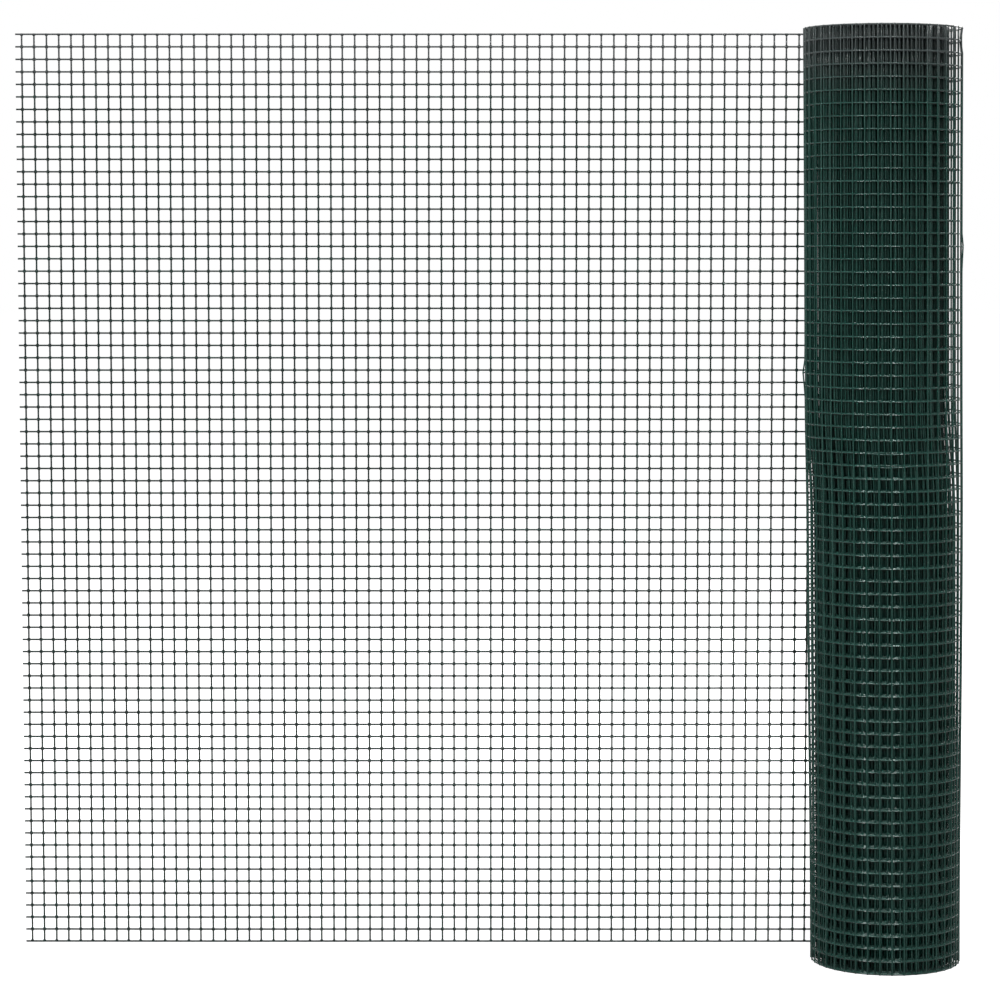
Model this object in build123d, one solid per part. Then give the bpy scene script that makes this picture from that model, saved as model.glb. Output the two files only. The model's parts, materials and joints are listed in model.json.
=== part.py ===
"""A roll of welded wire mesh fencing, standing on its end with the free end of the mesh unrolled.

The mesh is a square grid: level line wires that run the length of the roll, and upright cross
wires welded to their outer side. The part's frame has its origin at the middle of the roll's foot,
+Z up along the roll's axis, and the unrolled run leaving the back of the roll towards -X.
"""

import os

from build123d import *

# Mesh
mesh_width = 1000.0  # height of the mesh as the roll stands
mesh_pitch = 13.5  # from wire to wire, both ways
wire_diameter = 1.6  # steel core with its plastic coat
weld_spacing = 0.6  # between the centres of the two wires of a weld

# Roll
roll_diameter = 166.0  # over the outermost turn
bore_diameter = 46.0  # inside the innermost turn
tight_turn_pitch = 2.0  # from turn to turn in the tightly wound inside
loose_turn_pitch = 4.0  # from turn to turn in the slack outer turns
loose_turn_count = 2
turn_gap_depth = 6.0  # of the gaps between the turns, on both ends

# Unrolled run
run_length = 937.0  # from where it leaves the roll to its cut end
run_clearance = 0.2  # between the roll and the run
strip_count = 14  # strips side by side that make up the run

# Worked out from the sizes above
roll_radius = roll_diameter / 2
bore_radius = bore_diameter / 2
line_wire_count = round((mesh_width - wire_diameter) / mesh_pitch) + 1
line_wire_pitch = (mesh_width - wire_diameter) / (line_wire_count - 1)
strip_length = run_length / strip_count
strip_wire_count = round(strip_length / mesh_pitch)
cross_wire_pitch = strip_length / strip_wire_count


def turn_radii():
    """Inner radius of every turn, from the bore outwards: tight turns first, then the slack ones."""
    tight_outside = roll_radius - loose_turn_count * loose_turn_pitch
    tight_span = tight_outside - wire_diameter - bore_radius
    tight_gaps = round(tight_span / tight_turn_pitch)
    tight = [bore_radius + tight_span * i / tight_gaps for i in range(tight_gaps + 1)]
    loose = [tight[-1] + loose_turn_pitch * (i + 1) for i in range(loose_turn_count)]
    return tight + loose


def roll_end(end_height, gap_height):
    """Profile of one end of the roll, from the bore outwards: a flat ring for each turn and a
    V-shaped gap down to gap_height between one turn and the next."""
    radii = turn_radii()
    points = []
    for inner, next_inner in zip(radii, radii[1:]):
        outer = inner + wire_diameter
        points += [(inner, end_height), (outer, end_height)]
        points += [((outer + next_inner) / 2, gap_height)]
    points += [(radii[-1], end_height), (roll_radius, end_height)]
    return points


def make_roll():
    """The rolled mesh as one turned solid, open along its bore, with its turns showing on its ends."""
    foot = roll_end(0, turn_gap_depth)
    top = roll_end(mesh_width, mesh_width - turn_gap_depth)
    outline = Plane.XZ * Polyline(*foot, *reversed(top), close=True)
    return revolve(make_face(outline), Axis.Z)


def make_strip():
    """One strip of the flat mesh, from x = 0 towards +x, with its line wires' near side at y = 0.

    Its line wires end half a mesh beyond the last cross wire at both sides, so that they meet those
    of the next strip end to end. Cross wires and line wires overlap where they are welded.
    """
    corner = (Align.MIN, Align.MIN, Align.MIN)
    upright = (Align.CENTER, Align.MIN, Align.MIN)
    line_wire = Box(strip_length, wire_diameter, wire_diameter, align=corner)
    cross_wire = Box(wire_diameter, wire_diameter, mesh_width, align=upright)
    line_wires = [Pos(0, 0, i * line_wire_pitch) * line_wire for i in range(line_wire_count)]
    cross_wires = [
        Pos((i + 0.5) * cross_wire_pitch, weld_spacing, 0) * cross_wire
        for i in range(strip_wire_count)
    ]
    return line_wires[0].fuse(*line_wires[1:], *cross_wires)


def main():
    os.makedirs("parts", exist_ok=True)
    export_step(make_roll(), "parts/rolled_mesh.step", write_pcurves=False)
    strip = make_strip()
    run_y = roll_radius + run_clearance
    for i in range(strip_count):
        placed = Pos(-(i + 1) * strip_length, run_y, 0) * strip
        export_step(placed, f"parts/unrolled_mesh_{i + 1:02d}.step", write_pcurves=False)


main()
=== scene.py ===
"""Looks of a standing roll of green coated welded mesh whose free end is unrolled behind it.

Every wire of the mesh is made as a round tube: level line wires, which follow the winding of the roll
and then the flat run, and upright cross wires welded to their outer side. Lengths are in metres, in the
part's own frame: +Z up along the roll's axis, and the run goes from the back of the roll towards -X.
"""

import json
import math
from collections import namedtuple

import bpy
import numpy as np
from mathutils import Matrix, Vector


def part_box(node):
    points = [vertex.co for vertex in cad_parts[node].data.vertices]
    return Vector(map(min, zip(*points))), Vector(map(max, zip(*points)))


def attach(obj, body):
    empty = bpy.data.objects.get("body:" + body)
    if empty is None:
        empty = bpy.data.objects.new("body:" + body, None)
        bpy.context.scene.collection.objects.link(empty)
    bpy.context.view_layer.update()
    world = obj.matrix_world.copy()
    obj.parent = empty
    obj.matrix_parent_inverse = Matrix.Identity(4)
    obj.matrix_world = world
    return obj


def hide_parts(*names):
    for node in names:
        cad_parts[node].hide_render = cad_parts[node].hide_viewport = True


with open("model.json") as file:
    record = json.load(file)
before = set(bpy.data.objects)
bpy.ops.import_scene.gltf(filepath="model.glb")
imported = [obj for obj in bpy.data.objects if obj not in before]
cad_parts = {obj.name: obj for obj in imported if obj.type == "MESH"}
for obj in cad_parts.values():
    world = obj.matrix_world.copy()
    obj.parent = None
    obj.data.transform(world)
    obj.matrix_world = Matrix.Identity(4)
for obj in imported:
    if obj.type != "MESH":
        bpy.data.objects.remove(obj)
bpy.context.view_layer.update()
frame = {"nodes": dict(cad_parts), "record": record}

# Sizes from the frame
roll_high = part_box("rolled_mesh")[1]
strip_nodes = sorted(name for name in frame["nodes"] if name.startswith("unrolled_mesh_"))
strip_low, strip_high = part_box(strip_nodes[0])
run_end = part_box(strip_nodes[-1])[0].x
bore_mount = next(mount for mount in frame["record"]["mounts"] if mount["name"] == "bore")
bore_radius = bore_mount["dims"]["r_mm"] / 1000
roll_radius = roll_high.x
mesh_width = roll_high.z

# Sizes of the mesh
wire_radius = 0.0008  # on the roll
run_wire_radius = 0.0010  # on the run, where the wires show bolder
mesh_pitch = 0.0135  # from wire to wire, both ways
weld_reach_share = 1.625  # of the wire's radius, into the corners of a crossing
weld_depth_share = 1.125  # of the wire's radius, to both sides of the mesh
line_wire_y = strip_low.y + wire_radius
weld_spacing = strip_high.y - strip_low.y - 2 * wire_radius
line_wire_count = round((mesh_width - 2 * wire_radius) / mesh_pitch) + 1
line_wire_heights = np.linspace(wire_radius, mesh_width - wire_radius, line_wire_count)
run_line_heights = np.linspace(run_wire_radius, mesh_width - run_wire_radius, line_wire_count)
run_wire_count = len(strip_nodes) * round((strip_high.x - strip_low.x) / mesh_pitch)
run_wire_pitch = -run_end / run_wire_count

# Winding of the roll, counted in turns inwards from where the run leaves it
tight_radius = 0.0736  # of the line wires at the first tight turn
loose_turn_pitch = 0.0026  # from turn to turn outside
tight_turn_pitch = 0.0016  # from turn to turn deep inside
tightening_turns = 4  # over which the one pitch goes over to the other
slack_turns = 2.5  # outside the first tight turn
slack_fall = 0.8  # power with which the slack falls over those turns
foot_slack_share = 0.70  # of the slack, left at the foot
foot_slack_height_share = 0.55  # of the height, above which all of it is left
settle_turns = 0.25  # over which lean and unevenness set in, from where the run leaves the roll
lean_foot = 0.0050  # of the whole winding towards +X, at the foot
lean_top = -0.0062  # at the top
core_shift_foot = 0.0004  # of the first tight turn towards +X beyond the lean, in the lower half
core_shift_top = -0.0065  # in the upper half
core_shift_span_shares = (0.48, 0.62)  # of the height, between which the shift changes
core_shift_bore_share = 0.15  # of the shift, left at the bore
telescope = 0.0012  # the furthest that a turn has slid up
most_turns = 100  # more than the roll can have
turn_table_steps = 100000
length_table_steps = 20000

# Unevenness of the mesh, with the rates of its waves per turn and per metre of height
slack_ripple = 0.0009  # in and out, where the run leaves the roll
tight_ripple = 0.0002  # from the first tight turn inwards
ripple_wave_count = 5
ripple_turn_rates = (1.6, 5.3)
ripple_height_rates = (-2.5, 2.5)
slack_sway = 0.0006  # of the cross wires to the side, where the run leaves the roll
tight_sway = 0.0020  # from the first tight turn inwards
sway_wave_count = 3
sway_turn_rates = (0.28, 0.77)
sway_height_rates = (-0.7, 0.7)
telescope_wave_count = 3
telescope_turn_rates = (0.11, 0.43)
run_bow = 0.0006  # of the run, in and out
run_bow_waves = ((9.0, 3.1, 0.4), (-5.2, 2.3, 0.0))  # radians per metre along and up, and phase
run_bow_fade = 8 * mesh_pitch  # length over which the bow fades out at the roll
wire_jitter = 0.0003  # of each cross wire's place
draw = np.random.default_rng(39)

# Shades of the coat, from 0, near black, to 1, pale grey green, with painted light and shade on line wires
outer_line_shade = 0.10  # line wires of the outermost turn, low so that their sides are painted shade
outer_cross_shade = 0.50  # cross wires of the outermost turn
inner_shade = 0.48  # all wires of the turns inside
painted_top_light = 1.15  # painted light on top of the roll's line wires, and painted shade underneath
# near black on the run: painted shade, where the same coat is green on the roll
run_painted_shade = 0.0
shade_spread = 0.15  # from wire to wire
outer_shade_turns = (0.8, 1.4)  # between which the outer shade goes over to the inner one

# Fineness of the wires, coarser inwards: points for each turn, or along a straight wire, and sides
slack_line_fineness = (60, 6)
outer_line_fineness = (44, 5)
middle_line_fineness = (28, 3)
core_line_fineness = (20, 3)
selvedge_fineness = (60, 6)
slack_cross_fineness = (line_wire_count, 6)
tight_cross_fineness = (20, 5)
run_line_fineness = (41, 6)
run_cross_fineness = (line_wire_count, 6)
middle_first_turn = 7.5
core_first_turn = 16.0

# Dents in the outermost turn: their place, how far they reach, how deep they are and how much they sag
Dent = namedtuple("Dent", "turn height along_reach upward_reach depth sag")
front_dent = Dent(turn=0.51, height=0.545, along_reach=0.016, upward_reach=0.014, depth=0.0024, sag=0.0018)
rim_kink = Dent(turn=0.262, height=0.989, along_reach=0.012, upward_reach=0.005, depth=0.0028, sag=0)
left_bulge = Dent(turn=0.770, height=0.632, along_reach=0.007, upward_reach=0.011, depth=-0.0030, sag=0)
right_bulge = Dent(turn=0.268, height=0.765, along_reach=0.007, upward_reach=0.007, depth=-0.0022, sag=0)
dents = (front_dent, rim_kink, left_bulge, right_bulge)

# Coat of the wires
dark_coat = (0.001, 0.009, 0.007, 1)
green_coat = (0.003, 0.036, 0.027, 1)
# pale, greyish end of the shades, reached by the painted light on top of the line wires
pale_and_lit_coat = (0.027, 0.080, 0.066, 1)
green_coat_shade = 0.4  # between the dark coat at 0 and the pale one at 1
coat_reflection = 0.18
coat_roughness = (0.12, 0.32)
patch_scale = 45
patch_detail = 3
patch_shade = 0.25  # more or less in a patch
scuff_scale = 420
scuff_detail = 2
scuff_levels = (0.62, 0.78)  # of the noise, from no scuff to a full one
scuff_cover = 0.5
scuff_colour = (0.07, 0.12, 0.10, 1)
# Grey painted sheen over the top rows of the roll
painted_sheen_height_shares = (0.915, 0.985)  # from none of the painted sheen to the most
painted_sheen_cover = 0.8
painted_sheen_colour = (0.046, 0.052, 0.054, 1)
peel_scale = 1600
peel_detail = 2
peel_strength = 0.15
peel_height = 0.0001

# Stage
white = (1, 1, 1, 1)
world_light = 0.3  # the backdrop's strength as light, where 1 is white
floor_reach = 30.0
floor_colour = (0.8, 0.8, 0.8, 1)
floor_roughness = 0.9
floor_glow_distances = (0.5, 4.0)  # from the roll's axis
floor_glow = (0.54, 0.76)  # at those distances

# Camera, fitted to the photo
photo_width = 1000
focal_pixels = 3185.4
camera_place = (-0.4112, -3.4, 0.78)
camera_pitch = 0.0824


def smooth_step(value):
    """Rises from 0 to 1 as value goes from 0 to 1, level at both ends: 3 v^2 - 2 v^3."""
    value = np.clip(value, 0, 1)
    return value * value * (3 - 2 * value)


# Winding
def random_waves(count, *rates):
    """Waves drawn at random, one to a row: a rate from each of the given ranges, and a phase."""
    low, high = np.transpose([*rates, (0, 2 * math.pi)])
    return draw.uniform(low, high, (count, len(low)))


ripple_waves = random_waves(ripple_wave_count, ripple_turn_rates, ripple_height_rates)
sway_waves = random_waves(sway_wave_count, sway_turn_rates, sway_height_rates)
telescope_waves = random_waves(telescope_wave_count, telescope_turn_rates)


def wave_mean(waves, turn, height):
    """Mean of sine waves over the turns and the height, within -1 and 1."""
    total = 0
    for per_turn, per_height, phase in waves:
        total = total + np.sin(2 * math.pi * (per_turn * turn + per_height * height) + phase)
    return total / len(waves)


def slackness(turn):
    """1 where the run leaves the roll, falling evenly to 0 at the first tight turn."""
    return np.clip(1 - turn / slack_turns, 0, 1)


def settle(turn):
    """0 where the run leaves the roll, so that the two meet, and 1 once lean and unevenness have set in."""
    return smooth_step(turn / settle_turns)


def slack_share(turn, height):
    """How much of the slack is left: all of it in the upper part, and less towards the foot, where the turns
    have settled on each other."""
    closed = (1 - foot_slack_share) * (1 - smooth_step(height / mesh_width / foot_slack_height_share))
    return 1 - closed * settle(turn)


def wound_radius(turn):
    """Radius of the line wires without their slack: it falls by the loose pitch for each turn outside the
    tight radius, and inside it by less and less for each turn, down to the tight pitch."""
    outside = np.minimum(turn - slack_turns, 0)
    inside = np.maximum(turn - slack_turns, 0)
    tightening = tightening_turns * (1 - np.exp(-inside / tightening_turns))
    fall = tight_turn_pitch * inside + (loose_turn_pitch - tight_turn_pitch) * tightening
    return tight_radius - loose_turn_pitch * outside - fall


def turn_at_radius(radius):
    """The turn at which the line wires have this radius, read from a fine table."""
    turn = np.linspace(0, most_turns, turn_table_steps + 1)
    return float(np.interp(-radius, -wound_radius(turn), turn))


last_turn = turn_at_radius(bore_radius + wire_radius)


def winding_radius(turn, height):
    """Radius of the line wires: the slack of the outer turns brings it up to the run where that leaves the
    roll, and towards the foot the loose turns close up on the tight ones."""
    loose = np.maximum(wound_radius(turn) - tight_radius, 0)
    slack = (line_wire_y - wound_radius(0)) * slackness(turn) ** slack_fall
    return wound_radius(turn) - loose + (loose + slack) * slack_share(turn, height)


def turn_offset(turn, height):
    """How far the middle of a turn stands towards +X. The whole winding leans a little, evenly from the foot
    to the top. Inside the slack turns the tight core stands further over in the upper half than in the lower
    one, most at the first tight turn and little at the bore."""
    lean = lean_foot + (lean_top - lean_foot) * height / mesh_width
    low, high = core_shift_span_shares
    climb = smooth_step((height / mesh_width - low) / (high - low))
    shift = core_shift_foot + (core_shift_top - core_shift_foot) * climb
    inwards = np.clip((turn - slack_turns) / (last_turn - slack_turns), 0, 1)
    core = shift * smooth_step(turn / slack_turns) * (1 - (1 - core_shift_bore_share) * inwards)
    return lean * settle(turn) + core


def dent_bell(dent, turn, height):
    """Bell shape of one dent in the outermost turn: 1 at its middle, 0 well away from it."""
    along = (turn - dent.turn) * 2 * math.pi * roll_radius / dent.along_reach
    upward = (height - dent.height) / dent.upward_reach
    return np.exp(-(along**2) - upward**2) * (turn < 1)


def winding(turn, height):
    """Plan position of the line-wire layer and the way out of the roll there. The angle goes clockwise from
    the back by a full turn for each turn, at the winding's radius and about the middle of that turn."""
    angle = math.pi / 2 - 2 * math.pi * turn
    uneven = tight_ripple + (slack_ripple - tight_ripple) * slackness(turn)
    radius = winding_radius(turn, height) + uneven * settle(turn) * wave_mean(ripple_waves, turn, height)
    for dent in dents:
        radius = radius - dent.depth * dent_bell(dent, turn, height)
    outward = np.stack(np.broadcast_arrays(np.cos(angle), np.sin(angle), 0 * (turn + height)), -1)
    place = radius[..., None] * outward
    place[..., 0] += turn_offset(turn, height)
    return place, outward


def rise(turn, height):
    """How far the turns have slid up out of each other: a mean of slow sine waves over the turns, never below
    the foot, less the sag of the dents in the outermost turn."""
    waves = sum(np.sin(2 * math.pi * rate * turn + phase) for rate, phase in telescope_waves)
    slid = telescope * smooth_step(turn) * (1 + waves / len(telescope_waves)) / 2
    for dent in dents:
        slid = slid - dent.sag * dent_bell(dent, turn, height)
    return slid


def winding_lengths():
    """A fine table of turns, and the length of mesh from the run to each of them, at half height."""
    turn = np.linspace(0, last_turn, length_table_steps + 1)
    place, outward = winding(turn, np.full_like(turn, mesh_width / 2))
    steps = np.linalg.norm(np.diff(place, axis=0), axis=1)
    return turn, np.concatenate([[0], np.cumsum(steps)])


def run_place(x, height):
    """Line-wire layer of the flat run: a plane behind the roll with two slow sine waves, multiplied, through
    it, which fade out where the run meets the roll."""
    first, second = (np.sin(along * x + upward * height + phase) for along, upward, phase in run_bow_waves)
    y = line_wire_y + run_bow * first * second * smooth_step(-x / run_bow_fade)
    return np.stack(np.broadcast_arrays(x, y, height), -1)


# Coat
def add_noise(tree, place, scale, detail):
    """Noise over the given place."""
    noise = tree.nodes.new("ShaderNodeTexNoise")
    noise.inputs["Scale"].default_value = scale
    noise.inputs["Detail"].default_value = detail
    tree.links.new(place, noise.inputs["Vector"])
    return noise.outputs["Fac"]


def add_range(tree, value, start, end, curve="LINEAR"):
    """Value carried over from the range start to the range end, and kept inside it."""
    carried = tree.nodes.new("ShaderNodeMapRange")
    carried.interpolation_type = curve
    for socket, limit in zip(("From Min", "From Max", "To Min", "To Max"), (*start, *end)):
        carried.inputs[socket].default_value = limit
    tree.links.new(value, carried.inputs["Value"])
    return carried.outputs["Result"]


def add_math(tree, operation, first, second):
    """Two values put together by a math operation."""
    both = tree.nodes.new("ShaderNodeMath")
    both.operation = operation
    tree.links.new(first, both.inputs[0])
    tree.links.new(second, both.inputs[1])
    return both.outputs["Value"]


def add_cover(tree, under, colour, cover):
    """A colour laid over another one, with the cover as its share."""
    layer = tree.nodes.new("ShaderNodeMix")
    layer.data_type = "RGBA"
    layer.inputs["B"].default_value = colour
    tree.links.new(cover, layer.inputs["Factor"])
    tree.links.new(under, layer.inputs["A"])
    return layer.outputs["Result"]


def make_coat():
    """Dark green plastic coat on the wire, half gloss. Its shade is that of the wire, uneven in patches, with
    painted light on top of the line wires and painted shade under them. Over it come paler scuffs, a grey
    painted sheen on the top rows and a faint orange-peel surface."""
    material = bpy.data.materials.new("green_plastic_coat")
    material.use_nodes = True
    tree = material.node_tree
    shader = tree.nodes["Principled BSDF"]
    shader.inputs["Specular IOR Level"].default_value = coat_reflection
    place = tree.nodes.new("ShaderNodeTexCoord").outputs["Object"]

    tint = tree.nodes.new("ShaderNodeAttribute")
    tint.attribute_name = "coat_tint"
    patches = add_noise(tree, place, patch_scale, patch_detail)
    uneven = add_range(tree, patches, (0, 1), (-patch_shade, patch_shade))
    # the wire's tint carries painted light on top of the line wires and painted shade under them
    shades = tree.nodes.new("ShaderNodeValToRGB")
    shades.color_ramp.elements[0].color = dark_coat
    shades.color_ramp.elements[1].color = pale_and_lit_coat
    shades.color_ramp.elements.new(green_coat_shade).color = green_coat
    tree.links.new(add_math(tree, "ADD", tint.outputs["Fac"], uneven), shades.inputs["Fac"])

    scuffs = add_noise(tree, place, scuff_scale, scuff_detail)
    scuffed = add_range(tree, scuffs, scuff_levels, (0, scuff_cover))
    worn = add_cover(tree, shades.outputs["Color"], scuff_colour, scuffed)
    roughness = add_range(tree, scuffs, (0, 1), coat_roughness)
    tree.links.new(roughness, shader.inputs["Roughness"])

    # grey painted sheen over the top rows
    apart = tree.nodes.new("ShaderNodeSeparateXYZ")
    tree.links.new(place, apart.inputs["Vector"])
    painted_sheen_heights = [share * mesh_width for share in painted_sheen_height_shares]
    painted_sheen = add_range(tree, apart.outputs["Z"], painted_sheen_heights, (0, painted_sheen_cover), "SMOOTHSTEP")
    tree.links.new(add_cover(tree, worn, painted_sheen_colour, painted_sheen), shader.inputs["Base Color"])

    bump = tree.nodes.new("ShaderNodeBump")
    bump.inputs["Strength"].default_value = peel_strength
    bump.inputs["Distance"].default_value = peel_height
    tree.links.new(add_noise(tree, place, peel_scale, peel_detail), bump.inputs["Height"])
    tree.links.new(bump.outputs["Normal"], shader.inputs["Normal"])
    return material


coat = make_coat()

# Wires to meshes
up = np.array([0.0, 0.0, 1.0])
back = np.array([0.0, 1.0, 0.0])


def wound_shade(turn, outer_shade):
    """Shade of the coat on the roll: the outer shade on the outermost turn, then that of the turns inside."""
    first, last = outer_shade_turns
    return outer_shade + (inner_shade - outer_shade) * smooth_step((turn - first) / (last - first))


def add_piece(name, points, loops, sizes, smooth, maps, tints):
    """One mesh object from whole arrays: its corners, the corner numbers of its faces one after another, how
    many each face has, which faces are smooth, a map corner for each, and a tint for each point. The map has
    the name that the export keeps."""
    mesh = bpy.data.meshes.new(name)
    mesh.vertices.add(len(points))
    mesh.vertices.foreach_set("co", points.astype(np.float32).ravel())
    mesh.loops.add(len(loops))
    mesh.loops.foreach_set("vertex_index", loops.astype(np.int32))
    mesh.polygons.add(len(sizes))
    mesh.polygons.foreach_set("loop_start", (np.cumsum(sizes) - sizes).astype(np.int32))
    mesh.update(calc_edges=True)
    mesh.polygons.foreach_set("use_smooth", smooth)
    mesh.uv_layers.new(name="OFBake").uv.foreach_set("vector", maps.astype(np.float32).ravel())
    tint = mesh.attributes.new("coat_tint", "FLOAT", "POINT")
    tint.data.foreach_set("value", tints.astype(np.float32))
    piece = bpy.data.objects.new(name, mesh)
    bpy.context.scene.collection.objects.link(piece)
    piece.data.materials.append(coat)
    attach(piece, "root")
    return piece


def add_wires(name, centres, first_axis, second_axis, radius, sides, shade, painted_light_above=0):
    """Round wires as tubes. Each row of centres is one wire's centre line, and each of its points carries a
    circle: centre + radius (cos a first axis + sin a second axis). A flat cap closes each end. The two axes
    are square to the wire, and their cross product points along it. The shade, given for each point of the
    centre lines, differs a little from wire to wire. A level wire can get painted light on its upper side
    and painted shade on its underside: shade + painted light above times the height of the circle's point
    above its centre, in radii."""
    wires, stations = centres.shape[:2]
    angle = 2 * math.pi * np.arange(sides) / sides
    first_part = np.cos(angle)[:, None] * first_axis[..., None, :]
    second_part = np.sin(angle)[:, None] * second_axis[..., None, :]
    ring = first_part + second_part
    points = centres[:, :, None, :] + radius * ring
    number = np.arange(wires * stations * sides).reshape(wires, stations, sides)
    beside = np.roll(number, -1, axis=2)
    skin = np.stack([number[:, :-1], beside[:, :-1], beside[:, 1:], number[:, 1:]], -1)
    caps = np.concatenate([number[:, 0, ::-1], number[:, -1, :]])
    faces = skin.size // 4
    sizes = np.concatenate([np.full(faces, 4), np.full(len(caps), sides)])
    loops = np.concatenate([skin.ravel(), caps.ravel()])

    # Map: one band for each wire, as long as the wire
    along = np.arange(stations - 1)[:, None, None] + np.array([0, 0, 1, 1])
    around = np.arange(sides)[:, None] + np.array([0, 1, 1, 0])
    band = np.arange(wires)[:, None, None, None] + around / sides
    skin_maps = np.stack(np.broadcast_arrays(along / (stations - 1), band / wires), -1)
    cap_bands = np.tile((np.arange(wires) + 0.5) / wires, 2)
    cap_ends = np.repeat([0.0, 1.0], wires)
    cap_maps = np.repeat(np.stack([cap_ends, cap_bands], -1), sides, axis=0)
    maps = np.concatenate([skin_maps.reshape(-1, 2), cap_maps])

    smooth = np.arange(len(sizes)) < faces
    tints = np.broadcast_to(shade + shade_spread * draw.uniform(-1, 1, (wires, 1)), (wires, stations))
    # painted light on the upper side of a level wire, painted shade on its underside
    tints = tints[..., None] + painted_light_above * ring[..., 2]
    return add_piece(name, points.reshape(-1, 3), loops, sizes, smooth, maps, tints.ravel())


def add_welds(name, centres, outward, radius, shade):
    """Webs of coat in the corners where the wires cross: a diamond at each weld. Four of its corners lie
    between the wires, at centre + reach (+-along +-up), and two on its axis, at centre +-depth outward. None
    reaches past the selvedges. Each row of centres follows one cross wire upwards."""
    along = np.cross(up, outward)
    corners = [along + up, up - along, -along - up, along - up]
    points = [centres + weld_reach_share * radius * corner for corner in corners]
    points += [centres + side * weld_depth_share * radius * outward for side in (1, -1)]
    points = np.stack(points, -2)
    foot = centres[:, :1, 2] - radius
    top = centres[:, -1:, 2] + radius
    points[..., 2] = np.clip(points[..., 2], foot[..., None], top[..., None])
    corner_count = points.shape[-2]
    points = points.reshape(-1, corner_count, 3)
    outer_faces = [(0, 1, 4), (1, 2, 4), (2, 3, 4), (3, 0, 4)]
    inner_faces = [(1, 0, 5), (2, 1, 5), (3, 2, 5), (0, 3, 5)]
    pattern = np.array(outer_faces + inner_faces)
    loops = corner_count * np.arange(len(points))[:, None, None] + pattern

    # Map: a square for each weld
    columns = math.ceil(math.sqrt(len(points)))
    cell = np.stack(np.divmod(np.arange(len(points)), columns), -1)[:, None, None, :]
    inside = np.array([(1, 1), (0, 1), (0, 0), (1, 0), (0.5, 0.5), (0.5, 0.5)])[pattern]
    maps = (cell + inside) / columns

    sizes = np.full(loops.size // 3, 3)
    tints = np.repeat(np.broadcast_to(shade, centres.shape[:2]).ravel(), corner_count)
    return add_piece(name, points.reshape(-1, 3), loops.ravel(), sizes, sizes > 0, maps.reshape(-1, 2), tints)


def wound_line_wires(name, heights, first_turn, end_turn, per_turn, sides):
    """Line wires of the roll between two turns, one for each height, along the winding."""
    turn = np.linspace(first_turn, end_turn, round((end_turn - first_turn) * per_turn) + 1)
    turn, height = np.broadcast_arrays(turn[None, :], heights[:, None])
    centres, outward = winding(turn, height)
    centres[..., 2] = height + rise(turn, height)
    upward = np.broadcast_to(up, outward.shape)
    shade = wound_shade(turn, outer_line_shade)
    # painted light on the tops of the line wires, painted shade underneath
    return add_wires(name, centres, outward, upward, wire_radius, sides, shade, painted_top_light)


def cross_wire_turns(wires, height):
    """Turn numbers of these cross wires at these heights: each wire is a little off its place and a little
    out of plumb, and sways with the mesh around it, which lies askew from one turn to the next."""
    turn = wire_turns[wires, None]
    off = wire_aside[0, wires, None] + wire_aside[1, wires, None] * (height / mesh_width - 0.5)
    size = tight_sway + (slack_sway - tight_sway) * slackness(turn)
    aside = off + size * settle(turn) * wave_mean(sway_waves, turn, height)
    return turn + aside / (2 * math.pi * winding_radius(turn, height))


def wound_place(wires, height, outwards):
    """Points on these cross wires of the roll, at these heights, and the way out of the roll there. The
    points lie outwards from the middle of the line wires by the given distance."""
    turn = cross_wire_turns(wires, height)
    height = np.broadcast_to(height, turn.shape)
    centres, outward = winding(turn, height)
    centres = centres + outwards * outward
    centres[..., 2] = height + rise(turn, height)
    return centres, outward


def wound_cross_wires(name, wires, stations, sides):
    """Cross wires of the roll: upright, outside the line wires by the spacing of a weld."""
    centres, outward = wound_place(wires, np.linspace(0, mesh_width, stations), weld_spacing)
    shade = wound_shade(wire_turns[wires, None], outer_cross_shade)
    return add_wires(name, centres, outward, np.cross(up, outward), wire_radius, sides, shade)


def wound_welds(name, wires):
    """Webs of the roll's welds, half way between the line wires and these cross wires."""
    centres, outward = wound_place(wires, line_wire_heights, weld_spacing / 2)
    shade = wound_shade(wire_turns[wires, None], outer_cross_shade)
    return add_welds(name, centres, outward, wire_radius, shade)


def run_line_wires(name, stations, sides):
    """Line wires of the flat run, from its cut end to the roll."""
    x, height = np.broadcast_arrays(np.linspace(run_end, 0, stations)[None, :], run_line_heights[:, None])
    centres = run_place(x, height)
    behind = np.broadcast_to(back, centres.shape)
    upward = np.broadcast_to(up, centres.shape)
    return add_wires(name, centres, behind, upward, run_wire_radius, sides, run_painted_shade)


def run_cross_place(height, backwards):
    """Points on the cross wires of the flat run at these heights, and the way back there. The points lie
    backwards from the middle of the line wires by the given distance."""
    x, height = np.broadcast_arrays(run_wire_x[:, None], height[None, :])
    centres = run_place(x, height) + backwards * back
    return centres, np.broadcast_to(back, centres.shape)


def run_cross_wires(name, stations, sides):
    """Cross wires of the flat run: upright, behind the line wires by the spacing of a weld."""
    centres, behind = run_cross_place(np.linspace(0, mesh_width, stations), weld_spacing)
    return add_wires(name, centres, behind, np.cross(up, behind), run_wire_radius, sides, run_painted_shade)


def run_welds(name):
    """Webs of the run's welds, half way between the line wires and the cross wires."""
    centres, behind = run_cross_place(run_line_heights, weld_spacing / 2)
    return add_welds(name, centres, behind, run_wire_radius, run_painted_shade)


# Places of the cross wires, half a mesh from the cut end and from the roll
run_wire_x = -run_wire_pitch * (np.arange(run_wire_count) + 0.5)
run_wire_x = run_wire_x + draw.uniform(-wire_jitter, wire_jitter, run_wire_count)
turn_table, length_table = winding_lengths()
wire_lengths = run_wire_pitch * (np.arange(length_table[-1] // run_wire_pitch) + 0.5)
wire_turns = np.interp(wire_lengths, length_table, turn_table)
wire_aside = draw.uniform(-wire_jitter, wire_jitter, (2, len(wire_turns)))
slack_wires = np.flatnonzero(wire_turns < slack_turns)
tight_wires = np.flatnonzero(wire_turns >= slack_turns)

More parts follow.
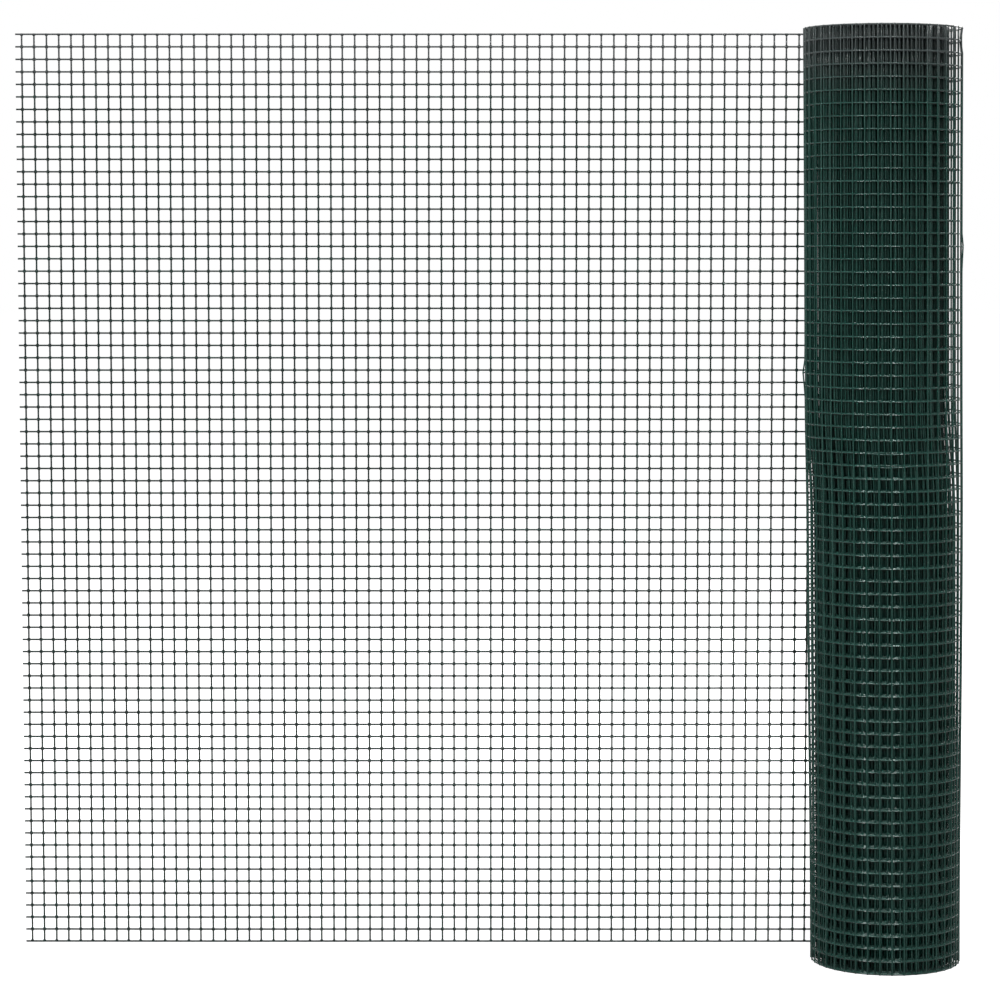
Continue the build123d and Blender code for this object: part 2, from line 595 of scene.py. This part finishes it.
# Pieces
selvedges = line_wire_heights[[0, -1]]
between = line_wire_heights[1:-1]
slack_lines = wound_line_wires("slack_line_wires", line_wire_heights, 0, slack_turns, *slack_line_fineness)
wound_line_wires("outer_line_wires", between, slack_turns, middle_first_turn, *outer_line_fineness)
wound_line_wires("middle_line_wires", between, middle_first_turn, core_first_turn, *middle_line_fineness)
wound_line_wires("core_line_wires", between, core_first_turn, last_turn, *core_line_fineness)
wound_line_wires("selvedge_wires", selvedges, slack_turns, last_turn, *selvedge_fineness)
wound_cross_wires("slack_cross_wires", slack_wires, *slack_cross_fineness)
wound_cross_wires("tight_cross_wires", tight_wires, *tight_cross_fineness)
wound_welds("slack_welds", slack_wires)
run_lines = run_line_wires("run_line_wires", *run_line_fineness)
run_cross_wires("run_cross_wires", *run_cross_fineness)
run_welds("run_welds")
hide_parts("rolled_mesh")
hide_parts(*strip_nodes)


# Backdrop, floor and lamps
def seeing_rays(tree):
    """1 for the rays that see a surface, straight from the camera, mirrored or through glass, and 0 for the
    rays that gather its light."""
    path = tree.nodes.new("ShaderNodeLightPath")
    seen = path.outputs["Is Camera Ray"]
    for kind in ("Is Glossy Ray", "Is Transmission Ray"):
        seen = add_math(tree, "MAXIMUM", seen, path.outputs[kind])
    return seen


def make_world():
    """Backdrop that is seen as white and lights the object softly from all round."""
    world = bpy.data.worlds.new("studio")
    world.use_nodes = True
    tree = world.node_tree
    background = tree.nodes["Background"]
    background.inputs["Color"].default_value = white
    strength = add_range(tree, seeing_rays(tree), (0, 1), (world_light, 1))
    tree.links.new(strength, background.inputs["Strength"])
    bpy.context.scene.world = world


def make_floor():
    """Pale floor that takes the shadow. A glow that only seeing rays meet makes it white, and it grows with
    the distance from the roll, where less of the lamps' light falls."""
    mesh = bpy.data.meshes.new("floor")
    corners = [(x * floor_reach, y * floor_reach, 0) for x, y in ((-1, -1), (1, -1), (1, 1), (-1, 1))]
    mesh.from_pydata(corners, [], [(0, 1, 2, 3)])
    floor = bpy.data.objects.new("floor", mesh)
    bpy.context.scene.collection.objects.link(floor)
    material = bpy.data.materials.new("pale_floor")
    material.use_nodes = True
    tree = material.node_tree
    shader = tree.nodes["Principled BSDF"]
    shader.inputs["Base Color"].default_value = floor_colour
    shader.inputs["Roughness"].default_value = floor_roughness
    shader.inputs["Specular IOR Level"].default_value = 0
    shader.inputs["Emission Color"].default_value = white
    distance = tree.nodes.new("ShaderNodeVectorMath")
    distance.operation = "LENGTH"
    place = tree.nodes.new("ShaderNodeTexCoord").outputs["Object"]
    tree.links.new(place, distance.inputs[0])
    glow = add_range(tree, distance.outputs["Value"], floor_glow_distances, floor_glow)
    seen_glow = add_math(tree, "MULTIPLY", seeing_rays(tree), glow)
    tree.links.new(seen_glow, shader.inputs["Emission Strength"])
    mesh.materials.append(material)


def add_softbox(name, place, aim, width, height, power, spread=180, lights=True, glints=True):
    """Softbox at place, facing aim. Its light spreads over an angle in degrees, less than 180 with a grid in
    front of it. It lights the coat, shows in it as glints, or both."""
    light = bpy.data.lights.new(name, "AREA")
    light.shape = "RECTANGLE"
    light.size = width
    light.size_y = height
    light.energy = power
    light.spread = math.radians(spread)
    softbox = bpy.data.objects.new(name, light)
    softbox.location = place
    softbox.rotation_euler = (Vector(aim) - Vector(place)).to_track_quat("-Z", "Y").to_euler()
    softbox.visible_diffuse = lights
    softbox.visible_glossy = glints
    bpy.context.scene.collection.objects.link(softbox)


def add_lamps():
    """Two narrow softboxes light the top rows from the front, with two more above them for the glints on the
    line wires. A large one hangs above, one and a strip stand in front, one at the side and one at the
    back."""
    front_left = (-1.6, -2.05)
    front_right = (0.52, -2.55)
    narrow = dict(width=0.3, height=1.0, spread=60)
    glint = dict(aim=(0, 0, 0.15), width=0.7, height=1.0, power=7.5, spread=30, lights=False)
    add_softbox("softbox_left", (*front_left, 1.6), aim=(-0.1, 0, 1.0), power=1.7, **narrow)
    add_softbox("softbox_right", (*front_right, 1.6), aim=(0, 0, 1.0), power=1.1, **narrow)
    add_softbox("glint_left", (*front_left, 2.1), **glint)
    add_softbox("glint_right", (*front_right, 2.1), **glint)
    add_softbox("softbox_above", (-0.2, -2.2, 6.0), aim=(-0.05, 0, 0.5), width=2.6, height=2.0, power=230)
    add_softbox(
        "softbox_front", (-0.4, -3.3, 1.35), aim=(-0.1, 0, 0.5), width=1.0, height=0.5, power=12, glints=False
    )
    add_softbox("strip_at_rim", (-0.3, -2.6, 1.2), aim=(-0.1, 0, 1.0), width=2.0, height=0.12, power=4)
    add_softbox("softbox_side", (-2.2, -0.7, 1.2), aim=(0, 0, 0.6), width=0.4, height=1.0, power=8)
    add_softbox("softbox_back", (1.3, 2.4, 1.9), aim=(-0.1, 0, 0.6), width=1.0, height=1.0, power=45)


def add_camera():
    """Camera that looks along +Y and a little down, with the photo's field of view."""
    camera = bpy.data.cameras.new("camera")
    camera.lens = focal_pixels / photo_width * camera.sensor_width
    camera_object = bpy.data.objects.new("camera", camera)
    camera_object.location = camera_place
    camera_object.rotation_euler = (math.pi / 2 - camera_pitch, 0, 0)
    bpy.context.scene.collection.objects.link(camera_object)
    bpy.context.scene.camera = camera_object


make_world()
make_floor()
add_lamps()
add_camera()
bpy.context.scene.view_settings.view_transform = "Standard"
